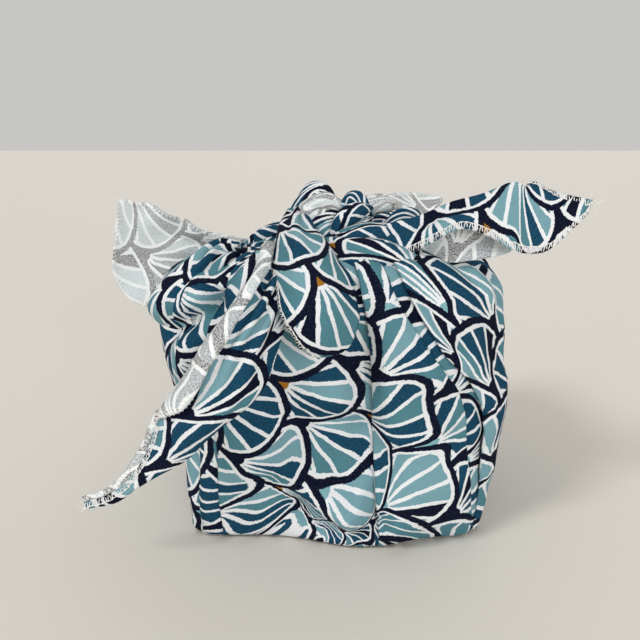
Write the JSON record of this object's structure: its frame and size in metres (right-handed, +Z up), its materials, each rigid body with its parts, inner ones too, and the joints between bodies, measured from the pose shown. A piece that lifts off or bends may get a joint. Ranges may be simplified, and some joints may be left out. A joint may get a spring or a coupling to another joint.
{
  "type": "furoshiki wrap",
  "caption": "Printed cotton furoshiki cloth wrapped over a box-shaped parcel, pleated down its sides and tied on top, with the corners hanging free.",
  "frame": {"origin": "centre of the flat face that the parcel rests on", "axes": "+Z up through the knot, -Y towards the front, where the broadest corner hangs down, +X to the right"},
  "size_m": [0.2553, 0.1916, 0.1885],
  "materials": {
    "printed_cotton": "matt printed cotton"
  },
  "bodies": {
    "root": {"furoshiki_cloth": "printed_cotton"}
  },
  "joints": []
}
